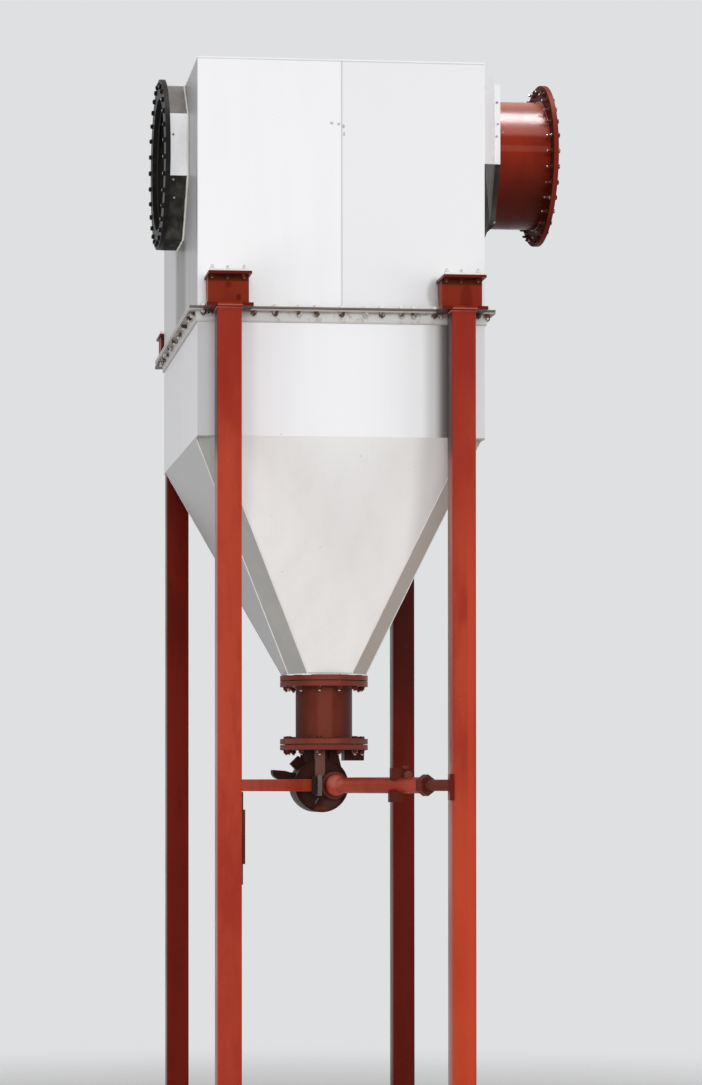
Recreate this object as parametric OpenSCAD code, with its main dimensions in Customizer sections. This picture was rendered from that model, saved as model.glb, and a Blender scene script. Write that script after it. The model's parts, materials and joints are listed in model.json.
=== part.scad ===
// Hopper-bottomed separator on four tube legs: a sheet-steel housing with a side inlet,
// a side outlet, a bolted split flange, an eight-sided hopper and a discharge valve.
// Origin on the floor, midway between the two duct faces and at mid depth.

/* [Housing] */
// Width of the housing, between the inlet wall and the outlet wall
housing_w = 1066; // [900:1:1300]
// Depth of the housing, front to back
housing_d = 1300; // [1200:1:1600]
// Height of the housing above the split flange
housing_h = 920; // [918:1:1200]
// Thickness of the housing and hopper sheets
sheet = 5; // [3:0.5:8]
// Height of the split flange's upper face above the floor
split_z = 3300; // [3000:1:3800]
// Width of the groove where two wall sheets meet
seam_w = 2; // [1:0.5:4]
// Depth of that groove
seam_d = 1; // [0.5:0.5:2]

/* [Split flange] */
// How far the flange stands out of the walls
flange_out = 34; // [25:1:36]
// Thickness of each flange leg
flange_t = 6; // [4:0.5:10]
// Thickness of every gasket
gasket_t = 3; // [1:0.5:4]
// Height of the hopper flange's upright leg
flange_leg = 44; // [30:1:60]

/* [Hopper] */
// Height of the straight skirt under the split flange
skirt_h = 469; // [300:1:700]
// Height of the tapered hopper
hopper_h = 857; // [700:1:900]
// Length cut off each corner of the hopper
corner_cut = 66; // [50:1:90]
// Half width of the hopper's lower end
throat_half = 150; // [140:1:165]
// How far the throat and the ducts lie forward of mid depth
axis_forward = 60; // [0:1:100]
// How far the throat lies to the outlet side of the middle
throat_right = 22; // [0:1:60]

/* [Discharge pipe] */
// Outer diameter of the discharge pipe
drop_od = 219.1; // [168:0.1:225]
// Wall of the discharge pipe
drop_wall = 6.3; // [4:0.1:10]
// Outer diameter of the discharge flanges
drop_flange_od = 340; // [320:1:360]
// Thickness of the discharge flanges
drop_flange_t = 20; // [12:1:26]
// Bolt circle of the discharge flanges
drop_pcd = 295; // [285:1:300]
// Bolts in each discharge flange
drop_bolts = 12; // [8:4:16]
// Hole diameter in the discharge flanges
drop_hole = 22; // [14:1:24]
// Length of pipe that shows between the two flanges
drop_len = 202; // [120:1:300]

/* [Discharge valve] */
// Radius of the valve's drum
drum_r = 104; // [90:1:115]
// Length of the drum, front to back
drum_len = 160; // [120:1:200]
// Thickness of the drum's front cover
cover_t = 12; // [8:1:18]
// Wall of the valve casting
valve_wall = 8; // [6:0.5:12]
// Distance from the valve flange's underside down to the drum's axis
valve_drop = 136; // [126:1:160]
// How far the valve lies to the inlet side of the discharge pipe
valve_left = 22; // [0:1:30]
// Outer radius of the valve's neck under its flange
neck_r = 70; // [55:1:75]

/* [Ducts] */
// Outer diameter of the inlet duct
inlet_od = 508; // [450:1:510]
// Outer diameter of the inlet flange
inlet_flange_od = 645; // [620:1:660]
// Bolt circle of the inlet flange
inlet_pcd = 600; // [585:1:605]
// Outer diameter of the outlet duct
outlet_od = 488; // [430:1:500]
// Outer diameter of the outlet flange
outlet_flange_od = 616; // [595:1:640]
// Bolt circle of the outlet flange
outlet_pcd = 572; // [560:1:580]
// Thickness of the duct flanges
duct_flange_t = 18; // [10:1:24]
// Wall of the ducts and their hoods
duct_wall = 5; // [3:0.5:8]
// Bolt holes in each duct flange
duct_bolts = 30; // [12:2:36]
// Hole diameter in the duct flanges
duct_hole = 12; // [8:1:22]
// Depth of the inlet axis under the roof
inlet_down = 275; // [262:1:300]
// Depth of the outlet axis under the roof
outlet_down = 250; // [250:1:300]
// Length of the inlet collar from the wall to its flange
inlet_collar_len = 73; // [60:1:150]
// Half width of the inlet collar
collar_half = 284; // [275:1:310]
// Depth of the inlet collar's bottom under its axis
collar_low = 307; // [290:1:330]
// Length of the outlet hood from the wall to its rim
outlet_hood_len = 107; // [90:1:220]
// Depth of the outlet hood's bottom on the wall under its axis
hood_low = 470; // [400:1:520]
// How far the outlet hood's end stands out round its duct
hood_edge = 32; // [25:1:50]
// Thickness of the outlet hood's rim plate
rim_t = 20; // [8:1:24]
// Length of the outlet duct from the rim to the flange
outlet_stub_len = 202; // [120:1:260]

/* [Legs] */
// Side of the square leg tubes
leg = 90; // [70:1:100]
// Wall of the leg tubes
leg_wall = 5; // [3:0.5:8]
// Gap between the housing walls and the legs
leg_gap = 38; // [37:1:60]
// How far the front legs' middle lies inside the housing's sides
front_inset = 103; // [95:1:150]
// How far the back legs' middle lies inside the housing's sides
back_inset = 61; // [55:1:130]
// Height of the welded leg head
head_h = 126; // [100:1:160]
// How far the leg head stands out of the housing wall
head_out = 150; // [135:1:170]
// Width of the head's top plate
head_w = 158; // [120:1:180]
// Thickness of the head's top plate and web
head_t = 10; // [6:1:14]
// Width of the cap plate on the leg
cap_w = 170; // [120:1:190]
// Thickness of the cap plate
cap_t = 12; // [8:1:16]
// Side of the square base plates
base_w = 200; // [160:5:240]
// Thickness of the base plates
base_t = 15; // [10:1:25]
// Spacing of the anchor holes in a base plate
anchor_pitch = 150; // [120:1:160]
// Diameter of the anchor holes
anchor_hole = 18; // [12:1:22]
// Thickness of the housing's foot plates
foot_t = 8; // [6:1:12]
// Height of the foot plates' underside above the split
foot_up = 108; // [90:1:130]

/* [Stay and purge line] */
// Outer diameter of the purge pipe
purge_od = 60.3; // [48:0.1:61]
// Wall of the purge pipe
purge_wall = 3.9; // [3:0.1:5]
// Outer diameter of the thin end pipe
end_od = 42.4; // [33:0.1:43]
// Height of the stay bar at the leg
stay_h = 42; // [35:1:50]
// Thickness of the stay bar
stay_t = 12; // [8:1:16]
// Height of the narrow cleat on the front left leg
cleat_h = 197; // [120:1:240]
// Thickness of the cleat
cleat_t = 13; // [8:1:20]

/* [Hidden] */

$fn = 96;
white = [0.90, 0.90, 0.89];
red = [0.66, 0.20, 0.14];
dark_red = [0.36, 0.12, 0.10];
zinc = [0.52, 0.49, 0.46];
black = [0.07, 0.07, 0.08];

// Faces of the ducts measured from the housing walls
inlet_reach = inlet_collar_len + duct_flange_t;
outlet_reach = outlet_hood_len + rim_t + outlet_stub_len + duct_flange_t;
// Middle of the housing, so that the duct faces lie evenly about the origin
mid_x = (inlet_reach - outlet_reach) / 2;
half_w = housing_w / 2;
half_d = housing_d / 2;
left_x = mid_x - half_w;
right_x = mid_x + half_w;
roof_z = split_z + housing_h;
axis_y = -axis_forward;
inlet_z = roof_z - inlet_down;
outlet_z = roof_z - outlet_down;
inlet_id = inlet_od - 2 * duct_wall;
outlet_id = outlet_od - 2 * duct_wall;

// Levels of the split, from the housing flange down
gasket_z = split_z - flange_t - gasket_t;
skirt_top = gasket_z;
angle_top = gasket_z - flange_t;
crease_z = split_z - skirt_h;
throat_z = crease_z - hopper_h;
throat_x = mid_x + throat_right;
// The throat cut follows the corner cut
slope_t = sheet * 1.08;
cut_in = corner_cut - (2 - sqrt(2)) * slope_t;

// Levels of the discharge, from the throat down
spool_top = throat_z - drop_flange_t - gasket_t;
spool_low = spool_top - 2 * drop_flange_t - drop_len;
valve_top = spool_low - gasket_t;
neck_top = valve_top - drop_flange_t;
drop_id = drop_od - 2 * drop_wall;
valve_x = throat_x - valve_left;
valve_z = neck_top - valve_drop;
neck_bore = neck_r - valve_wall;
cover_y = axis_y - drum_len / 2 - cover_t;

// Legs and heads
leg_off = leg_gap + leg / 2;
leg_y = half_d + leg_off;
head_top = split_z + foot_up;
cap_z = head_top - head_h;
lug_w = head_w - 12;
head_gap = 2;
front_spread = half_w - front_inset;
back_spread = half_w - back_inset;
// Overlap that keeps a cut clean
eps = 1;

// A flat ring standing across the X axis, from x to x + t
module side_ring(x, z, od, id, t) {
    translate([x, axis_y, z]) rotate([0, 90, 0])
        difference() {
            cylinder(d = od, h = t);
            translate([0, 0, -eps]) cylinder(d = id, h = t + 2 * eps);
        }
}

// Turn of the first duct bolt hole from straight down, in pitches
inlet_first = 0;
outlet_first = 0.5;

// Holes of a duct flange, on the X axis
module side_holes(x, z, pcd, t, first) {
    translate([x, axis_y, z]) rotate([0, 90, 0])
        for (i = [0 : duct_bolts - 1])
            rotate([0, 0, (i + first) * 360 / duct_bolts])
                translate([pcd / 2, 0, -eps]) cylinder(d = duct_hole, h = t + 2 * eps, $fn = 32);
}

// Front or back wall of the housing, side is -1 or 1, with a groove between its two sheets
module long_wall(side) {
    wall_z = split_z - flange_t;
    wall_h = roof_z - sheet - wall_z;
    color(white)
        difference() {
            translate([left_x, side < 0 ? -half_d : half_d - sheet, wall_z]) cube([housing_w, sheet, wall_h]);
            translate([mid_x - seam_w / 2, side * half_d - seam_d, wall_z - eps])
                cube([seam_w, 2 * seam_d, wall_h + 2 * eps]);
        }
}

// Side wall of the housing at x
module side_wall(x) {
    translate([x, -half_d + sheet, split_z - flange_t])
        cube([sheet, housing_d - 2 * sheet, roof_z - sheet - split_z + flange_t]);
}

module front_wall() { long_wall(-1); }
module back_wall() { long_wall(1); }

module left_wall() {
    color(white)
        difference() {
            side_wall(left_x);
            translate([left_x - eps, axis_y, inlet_z]) rotate([0, 90, 0])
                cylinder(d = inlet_id, h = sheet + 2 * eps);
        }
}

module right_wall() {
    color(white)
        difference() {
            side_wall(right_x - sheet);
            across(right_x - sheet - eps, sheet + 2 * eps) polygon(drawn_in(hood_base, wall_lap));
        }
}

module roof() {
    color(white)
        translate([left_x, -half_d, roof_z - sheet]) cube([housing_w, housing_d, sheet]);
}

// A rectangular frame round the housing walls, from z up by t
module frame(z, t, outside, inside) {
    translate([mid_x, 0, z])
        linear_extrude(t)
            difference() {
                square([housing_w + 2 * outside, housing_d + 2 * outside], center = true);
                square([housing_w + 2 * inside, housing_d + 2 * inside], center = true);
            }
}

module housing_flange() { color(white) frame(split_z - flange_t, flange_t, flange_out, 0); }
module split_gasket() { color(black) frame(gasket_z, gasket_t, flange_out - 1, -sheet); }

module hopper_flange() {
    color(white)
        union() {
            frame(angle_top, flange_t, flange_out, 0);
            frame(skirt_top - flange_leg, flange_leg - flange_t, flange_t, 0);
        }
}

// Front or back sheet of the skirt
module skirt_long(side) {
    color(white)
        translate([left_x, side < 0 ? -half_d : half_d - sheet, crease_z])
            cube([housing_w, sheet, skirt_top - crease_z]);
}

// Side sheet of the skirt
module skirt_side(x) {
    color(white)
        translate([x, -half_d + sheet, crease_z])
            cube([sheet, housing_d - 2 * sheet, skirt_top - crease_z]);
}

module skirt_front() { skirt_long(-1); }
module skirt_back() { skirt_long(1); }
module skirt_left() { skirt_side(left_x); }
module skirt_right() { skirt_side(right_x - sheet); }

// Corners of a cut rectangle, anticlockwise from the front left
function cut_rect(cx, cy, hx, hy, cut, z) = [
    [cx - hx + cut, cy - hy, z], [cx + hx - cut, cy - hy, z],
    [cx + hx, cy - hy + cut, z], [cx + hx, cy + hy - cut, z],
    [cx + hx - cut, cy + hy, z], [cx - hx + cut, cy + hy, z],
    [cx - hx, cy + hy - cut, z], [cx - hx, cy - hy + cut, z]
];

outer_top = cut_rect(mid_x, 0, half_w, half_d, corner_cut, crease_z);
inner_top = cut_rect(mid_x, 0, half_w - slope_t, half_d - slope_t, cut_in, crease_z);
outer_low = cut_rect(throat_x, axis_y, throat_half, throat_half, corner_cut, throat_z);
inner_low = cut_rect(throat_x, axis_y, throat_half - slope_t, throat_half - slope_t, cut_in, throat_z);

// One sheet of the hopper, between two neighbouring corners of the cut rectangles
module hopper_sheet(i) {
    j = (i + 1) % 8;
    polyhedron(
        points = [outer_top[i], outer_top[j], outer_low[j], outer_low[i],
                  inner_top[i], inner_top[j], inner_low[j], inner_low[i]],
        faces = [[0, 1, 2, 3], [7, 6, 5, 4], [0, 4, 5, 1], [1, 5, 6, 2], [2, 6, 7, 3], [3, 7, 4, 0]]);
}

// A corner sheet with the flat triangle that closes the skirt's corner above it
module hopper_corner(i, sx, sy) {
    color(white)
        union() {
            hopper_sheet(i);
            translate([mid_x + sx * half_w, sy * half_d, crease_z - sheet])
                linear_extrude(sheet)
                    polygon([[0, 0], [-sx * (corner_cut + sheet), 0], [0, -sy * (corner_cut + sheet)]]);
        }
}

module hopper_front() { color(white) hopper_sheet(0); }
module hopper_corner_fr() { hopper_corner(1, 1, -1); }
module hopper_right() { color(white) hopper_sheet(2); }
module hopper_corner_br() { hopper_corner(3, 1, 1); }
module hopper_back() { color(white) hopper_sheet(4); }
module hopper_corner_bl() { hopper_corner(5, -1, 1); }
module hopper_left() { color(white) hopper_sheet(6); }
module hopper_corner_fl() { hopper_corner(7, -1, -1); }

// A drilled ring flange of the discharge, from z up, with its bore of radius r at x
module drop_ring(z, x, r) {
    difference() {
        translate([throat_x, axis_y, z]) cylinder(d = drop_flange_od, h = drop_flange_t);
        translate([x, axis_y, z - eps]) cylinder(r = r, h = drop_flange_t + 2 * eps);
        translate([throat_x, axis_y, z - eps])
            for (i = [0 : drop_bolts - 1])
                rotate([0, 0, (i + 0.5) * 360 / drop_bolts])
                    translate([drop_pcd / 2, 0, 0])
                        cylinder(d = drop_hole, h = drop_flange_t + 2 * eps, $fn = 32);
    }
}

module throat_flange() { color(dark_red) drop_ring(throat_z - drop_flange_t, throat_x, drop_id / 2); }

// The pipe runs between its two flanges
module spool() {
    color(dark_red)
        translate([throat_x, axis_y, spool_low + drop_flange_t])
            difference() {
                cylinder(d = drop_od, h = drop_len);
                translate([0, 0, -eps]) cylinder(d = drop_id, h = drop_len + 2 * eps);
            }
}

module spool_flanges() {
    color(dark_red) {
        drop_ring(spool_top - drop_flange_t, throat_x, drop_id / 2);
        drop_ring(spool_low, throat_x, drop_id / 2);
    }
}

// A gasket of the discharge, inside its bolts
module drop_gasket(z) {
    translate([throat_x, axis_y, z])
        difference() {
            cylinder(d = drop_pcd - drop_hole - 2, h = gasket_t);
            translate([0, 0, -eps]) cylinder(d = drop_id, h = gasket_t + 2 * eps);
        }
}

module spool_gaskets() {
    color(black) {
        drop_gasket(spool_top);
        drop_gasket(valve_top);
    }
}

// A round bar along the Y axis through the valve's middle, from y to y + len
module valve_bar(r, y, len) {
    translate([valve_x, y, valve_z]) rotate([-90, 0, 0]) cylinder(r = r, h = len);
}

// Flange, neck down to the drum and the block under the flange
block_w = 77;
block_h = 40;
module valve_neck() {
    color(dark_red)
        union() {
            drop_ring(neck_top, valve_x, neck_bore);
            difference() {
                translate([valve_x, axis_y, valve_z]) cylinder(r = neck_r, h = valve_drop);
                translate([valve_x, axis_y, valve_z - eps]) cylinder(r = neck_bore, h = valve_drop + 2 * eps);
                valve_bar(drum_r, axis_y - drum_len, 2 * drum_len);
            }
            translate([valve_x + neck_r + 26, axis_y - block_w / 2, neck_top - block_h])
                cube([block_w, block_w, block_h]);
        }
}

// Drum of the valve, closed at the back, open to the neck, with a bolted lug at its left shoulder
lug_angle = 46;
lug_size = [33, 40, 44];
module valve_drum() {
    color(dark_red)
        difference() {
            union() {
                valve_bar(drum_r, axis_y - drum_len / 2, drum_len);
                translate([valve_x, axis_y, valve_z]) rotate([0, 180 + lug_angle, 0])
                    translate([drum_r - 6, -lug_size[1] / 2, -lug_size[2] / 2])
                        cube([lug_size[0] + 6, lug_size[1], lug_size[2]]);
            }
            valve_bar(drum_r - valve_wall, axis_y - drum_len / 2 - eps, drum_len - valve_wall + eps);
            translate([valve_x, axis_y, valve_z]) cylinder(r = neck_bore, h = 2 * drum_r);
        }
}

// Front cover of the drum, dished inside a raised rim
cover_rim = 6;
module valve_cover() {
    color(dark_red)
        difference() {
            valve_bar(drum_r, cover_y, cover_t);
            valve_bar(drum_r - cover_rim, cover_y - eps, cover_t / 2 + eps);
        }
}

// Round-nosed paddle on the drum's left
paddle_reach = 97;
paddle_h = 37;
paddle_up = 42;
paddle_nose = 22;
module valve_paddle() {
    color(dark_red)
        difference() {
            translate([valve_x - drum_r, axis_y, valve_z + paddle_up - paddle_h / 2])
                hull() {
                    translate([paddle_nose - paddle_reach, 0, 0])
                        cylinder(r = paddle_nose, h = paddle_h, $fn = 32);
                    translate([drum_r / 2, -30, 0]) cube([1, 60, paddle_h]);
                }
            valve_bar(drum_r, axis_y - drum_len, 2 * drum_len);
        }
}

// Upright plate on the cover with the block that the stay bar meets
plate_t = 16;
plate_h = 80;
plate_out = 66;
plate_x = valve_x - 25;
clevis_w = 20;
clevis_h = 67;
clevis_d = 34;
module valve_plate() {
    color(dark_red)
        union() {
            translate([plate_x, cover_y - plate_out, valve_z - plate_h / 2])
                cube([plate_t, plate_out + cover_t / 2, plate_h]);
            translate([plate_x - clevis_w, stay_to[1] - clevis_d / 2, valve_z - clevis_h / 2])
                cube([clevis_w, clevis_d, clevis_h]);
        }
}

// Stay bar from the front left leg to the upright plate's block
stay_from = [mid_x - front_spread + leg / 2, -leg_y, valve_z];
stay_to = [plate_x - clevis_w, cover_y - plate_out / 2, valve_z];
stay_run = norm([stay_to[0] - stay_from[0], stay_to[1] - stay_from[1]]);
stay_turn = atan2(stay_to[1] - stay_from[1], stay_to[0] - stay_from[0]);
stay_grow = 3;
module stay_bar() {
    color(red)
        difference() {
            translate(stay_from) rotate([0, 0, stay_turn])
                translate([-leg, stay_t / 2, 0]) rotate([90, 0, 0])
                    linear_extrude(stay_t)
                        polygon([[0, -stay_h / 2], [2 * leg + stay_run, -stay_h / 2 - stay_grow],
                                 [2 * leg + stay_run, stay_h / 2 + stay_grow], [0, stay_h / 2]]);
            translate([stay_from[0] - 2 * leg, -leg_y - leg, valve_z - stay_h])
                cube([2 * leg, 2 * leg, 2 * stay_h]);
            translate([stay_to[0], stay_to[1] - leg, valve_z - stay_h]) cube([2 * leg, 4 * leg, 2 * stay_h]);
        }
}

// Purge line: a capped elbow on the cover and a pipe to the front right leg
purge_x = valve_x + 48;
purge_y = cover_y - 48;
purge_end = [mid_x + front_spread - leg / 2, -leg_y, valve_z];
purge_run = norm([purge_end[0] - purge_x, purge_end[1] - purge_y]);
purge_turn = atan2(purge_end[1] - purge_y, purge_end[0] - purge_x);
union_at = purge_run * 0.77;
union_len = 30;
union_d = 80;
cap_d = 82;
collar_d = 112;
module along_purge(start) {
    translate([purge_x, purge_y, valve_z]) rotate([0, 90, purge_turn]) translate([0, 0, start]) children();
}

module purge_pipe() {
    color(red)
        difference() {
            union() {
                translate([purge_x, purge_y, valve_z]) sphere(d = cap_d, $fn = 48);
                along_purge(0) cylinder(d = purge_od, h = union_at);
                translate([purge_x, purge_y, valve_z]) rotate([-90, 0, 0])
                    cylinder(d = purge_od, h = cover_y - purge_y);
                translate([purge_x, cover_y - 14, valve_z]) rotate([-90, 0, 0]) cylinder(d = collar_d, h = 14);
            }
            along_purge(cap_d / 2) cylinder(d = purge_od - 2 * purge_wall, h = purge_run);
            translate([plate_x, cover_y - plate_out, valve_z - plate_h])
                cube([plate_t + 0.3, plate_out, 2 * plate_h]);
        }
}

// Blocks above and below the purge pipe, cut to seat on it
clamp_at = purge_run * 0.58;
module pipe_clamp() {
    color(dark_red)
        difference() {
            along_purge(clamp_at)
                rotate([0, -90, 0]) rotate([0, 0, -purge_turn]) {
                    translate([-37, -20, purge_od / 2 - 8]) cube([74, 50, 43]);
                    translate([-44, -20, -purge_od / 2 - 33]) cube([50, 45, 41]);
                    translate([-30, 12, -purge_od / 2 - 20]) cube([36, 18, purge_od + 36]);
                }
            along_purge(0) cylinder(d = purge_od, h = purge_run);
        }
}

module pipe_union() {
    color(dark_red)
        difference() {
            along_purge(union_at) cylinder(d = union_d, h = union_len, $fn = 6);
            along_purge(union_at - eps) cylinder(d = end_od - 2 * purge_wall, h = union_len + 2 * eps);
        }
}

module end_pipe() {
    color(red)
        difference() {
            along_purge(union_at + union_len) cylinder(d = end_od, h = purge_run - union_at);
            along_purge(union_at) cylinder(d = end_od - 2 * purge_wall, h = purge_run);
            translate([purge_end[0], -leg_y - leg, valve_z - leg]) cube([2 * leg, 2 * leg, 2 * leg]);
        }
}

// Narrow cleat with a tail strip on the front left leg's inner face
cleat_drop = 88;
cleat_d = 60;
tail_h = 75;
module leg_cleat() {
    color(dark_red)
        translate([stay_from[0], -leg_y - cleat_d / 2, valve_z - cleat_drop])
            union() {
                translate([0, 0, -cleat_h]) cube([cleat_t, cleat_d, cleat_h]);
                translate([0, cleat_d / 4, -cleat_h - tail_h]) cube([cleat_t / 2, cleat_d / 2, tail_h + eps]);
                translate([cleat_t / 2, cleat_d / 2, -eps])
                    cylinder(d = 6, h = cleat_drop - stay_h / 2 - stay_grow + eps, $fn = 24);
            }
}

// Stands an outline of the Y-Z plane up across the X axis, from x to x + t
module across(x, t) {
    translate([x, axis_y, 0]) rotate([90, 0, 90]) linear_extrude(t) children();
}

// A full outline from the corners of its half, listed from the bottom up
function mirrored(half) = [each half, for (i = [len(half) - 1 : -1 : 0]) [-half[i][0], half[i][1]]];

// A convex outline drawn in by g all round
function drawn_in(p, g) = let (n = len(p)) [
    for (i = [0 : n - 1])
        let (u = (p[i] - p[(i + n - 1) % n]) / norm(p[i] - p[(i + n - 1) % n]),
             v = (p[(i + 1) % n] - p[i]) / norm(p[(i + 1) % n] - p[i]))
        p[i] + g * (v - u) / (u[0] * v[1] - u[1] * v[0])
];

// Eight-sided collar round the inlet, its top flush with the roof and its end closed round the bore
collar_top_cut = 140;
collar_low_cut = [167, 208];
collar_ring = mirrored([
    [collar_half - collar_low_cut[0], inlet_z - collar_low],
    [collar_half, inlet_z - collar_low + collar_low_cut[1]],
    [collar_half, roof_z - collar_top_cut],
    [collar_half - collar_top_cut, roof_z]
]);
module inlet_collar() {
    x0 = left_x - inlet_collar_len;
    color(zinc)
        difference() {
            across(x0, inlet_collar_len) polygon(collar_ring);
            across(x0 + duct_wall, inlet_collar_len) polygon(drawn_in(collar_ring, duct_wall));
            translate([x0 - eps, axis_y, inlet_z]) rotate([0, 90, 0])
                cylinder(d = inlet_id, h = duct_wall + 2 * eps);
        }
}

module inlet_flange() {
    color(black)
        difference() {
            side_ring(left_x - inlet_reach, inlet_z, inlet_flange_od, inlet_id, duct_flange_t);
            side_holes(left_x - inlet_reach, inlet_z, inlet_pcd, duct_flange_t, inlet_first);
        }
}

// The outlet hood: six-sided on the wall, narrowing to a smaller six-sided end
hood_half = half_d - axis_forward;
hood_low_cut = [207, 346];
wall_lap = 30;
hood_base = mirrored([
    [hood_half - hood_low_cut[0], outlet_z - hood_low],
    [hood_half, outlet_z - hood_low + hood_low_cut[1]],
    [hood_half, roof_z]
]);
end_half = outlet_od / 2 + hood_edge;
end_low_cut = [97, 212];
end_low = outlet_z - end_half + 9;
hood_end = mirrored([
    [end_half - end_low_cut[0], end_low],
    [end_half, end_low + end_low_cut[1]],
    [end_half, roof_z]
]);
module outlet_hood() {
    end_x = right_x + outlet_hood_len;
    color(zinc)
        difference() {
            hull() {
                across(right_x, eps) polygon(hood_base);
                across(end_x - eps, eps) polygon(hood_end);
            }
            hull() {
                across(right_x - eps, eps) polygon(drawn_in(hood_base, duct_wall));
                across(end_x, eps) polygon(drawn_in(hood_end, duct_wall));
            }
        }
}

// The outlet hood's rim plate, with the duct's bore
module outlet_rim() {
    rim_x = right_x + outlet_hood_len;
    color(zinc)
        difference() {
            across(rim_x, rim_t) polygon(hood_end);
            translate([rim_x - eps, axis_y, outlet_z]) rotate([0, 90, 0])
                cylinder(d = outlet_id, h = rim_t + 2 * eps);
        }
}

module outlet_stub() {
    color(red)
        side_ring(right_x + outlet_hood_len + rim_t, outlet_z, outlet_od, outlet_id, outlet_stub_len);
}

module outlet_flange() {
    x1 = right_x + outlet_reach - duct_flange_t;
    color(red)
        difference() {
            side_ring(x1, outlet_z, outlet_flange_od, outlet_id, duct_flange_t);
            side_holes(x1, outlet_z, outlet_pcd, duct_flange_t, outlet_first);
        }
}

// A tube leg on its base plate, at the signs and spread given
module leg_at(sx, sy, spread) {
    color(red)
        translate([mid_x + sx * spread, sy * leg_y, 0])
            union() {
                difference() {
                    translate([-base_w / 2, -base_w / 2, 0]) cube([base_w, base_w, base_t]);
                    for (ax = [-1, 1], ay = [-1, 1])
                        translate([ax * anchor_pitch / 2, ay * anchor_pitch / 2, -eps])
                            cylinder(d = anchor_hole, h = base_t + 2 * eps, $fn = 32);
                }
                difference() {
                    translate([-leg / 2, -leg / 2, base_t - 0.01]) cube([leg, leg, cap_z - base_t + 0.01]);
                    translate([-leg / 2 + leg_wall, -leg / 2 + leg_wall, base_t])
                        cube([leg - 2 * leg_wall, leg - 2 * leg_wall, cap_z]);
                }
            }
}

// The welded head on a leg: cap plate, web, top plate and two gussets towards the housing
gusset_t = 8;
module head_at(sx, sy, spread) {
    web_h = head_h - cap_t - head_t;
    cap_gap = flange_out + head_gap;
    gusset_in = leg_off - head_gap - gusset_t;
    translate([mid_x + sx * spread, sy * half_d, cap_z]) mirror([0, sy < 0 ? 1 : 0, 0])
        union() {
            translate([-cap_w / 2, cap_gap, 0]) cube([cap_w, head_out - cap_gap, cap_t]);
            translate([-head_w / 2 + 4, leg_off - head_t / 2, cap_t]) cube([head_w - 8, head_t, web_h]);
            translate([-head_w / 2, head_gap, cap_t + web_h]) cube([head_w, head_out - head_gap, head_t]);
            for (gx = [-1, 1])
                translate([gx * (head_w / 2 - gusset_t - 1) - gusset_t / 2, leg_off, cap_t])
                    rotate([90, 0, 90])
                        linear_extrude(gusset_t)
                            polygon([[0, 0], [-leg_off + cap_gap + gusset_t, 0], [-gusset_in, web_h * 0.6],
                                     [-gusset_in, web_h], [0, web_h]]);
        }
}

module leg_heads() {
    color(red)
        for (sx = [-1, 1], sy = [-1, 1])
            head_at(sx, sy, sy < 0 ? front_spread : back_spread);
}

module leg_fl() { leg_at(-1, -1, front_spread); }
module leg_fr() { leg_at(1, -1, front_spread); }
module leg_bl() { leg_at(-1, 1, back_spread); }
module leg_br() { leg_at(1, 1, back_spread); }

// The housing's own foot plates, which rest on the leg heads
foot_out = head_out - 4;
module foot_plates() {
    color(white)
        for (sx = [-1, 1], sy = [-1, 1])
            translate([mid_x + sx * (sy < 0 ? front_spread : back_spread) - lug_w / 2,
                       sy < 0 ? -half_d - foot_out : half_d, head_top])
                cube([lug_w, foot_out, foot_t]);
}

front_wall();
back_wall();
left_wall();
right_wall();
roof();
housing_flange();
split_gasket();
hopper_flange();
skirt_front();
skirt_back();
skirt_left();
skirt_right();
hopper_front();
hopper_back();
hopper_left();
hopper_right();
hopper_corner_fl();
hopper_corner_fr();
hopper_corner_bl();
hopper_corner_br();
throat_flange();
spool();
spool_flanges();
spool_gaskets();
valve_neck();
valve_drum();
valve_cover();
valve_paddle();
valve_plate();
stay_bar();
purge_pipe();
pipe_clamp();
pipe_union();
end_pipe();
inlet_collar();
inlet_flange();
outlet_hood();
outlet_rim();
outlet_stub();
outlet_flange();
leg_fl();
leg_fr();
leg_bl();
leg_br();
leg_heads();
foot_plates();
leg_cleat();
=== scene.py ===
import bpy
import bmesh
import json
import math
import random
from mathutils import Matrix, Vector


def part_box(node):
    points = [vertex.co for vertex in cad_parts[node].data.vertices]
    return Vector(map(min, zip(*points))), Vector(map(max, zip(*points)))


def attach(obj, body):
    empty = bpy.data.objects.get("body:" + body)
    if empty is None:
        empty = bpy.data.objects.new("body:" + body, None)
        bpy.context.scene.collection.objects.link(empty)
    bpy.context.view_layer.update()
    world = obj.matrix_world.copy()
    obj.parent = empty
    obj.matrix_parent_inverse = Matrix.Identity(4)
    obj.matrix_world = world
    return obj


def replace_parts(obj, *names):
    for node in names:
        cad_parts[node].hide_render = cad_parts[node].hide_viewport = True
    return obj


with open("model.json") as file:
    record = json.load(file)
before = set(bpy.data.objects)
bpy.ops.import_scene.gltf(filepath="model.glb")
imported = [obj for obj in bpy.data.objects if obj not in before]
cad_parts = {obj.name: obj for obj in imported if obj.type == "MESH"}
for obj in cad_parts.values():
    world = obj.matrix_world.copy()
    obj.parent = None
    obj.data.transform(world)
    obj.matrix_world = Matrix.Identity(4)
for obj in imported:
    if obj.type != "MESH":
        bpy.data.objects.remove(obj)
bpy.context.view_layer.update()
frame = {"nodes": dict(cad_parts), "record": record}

random.seed(7)

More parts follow.
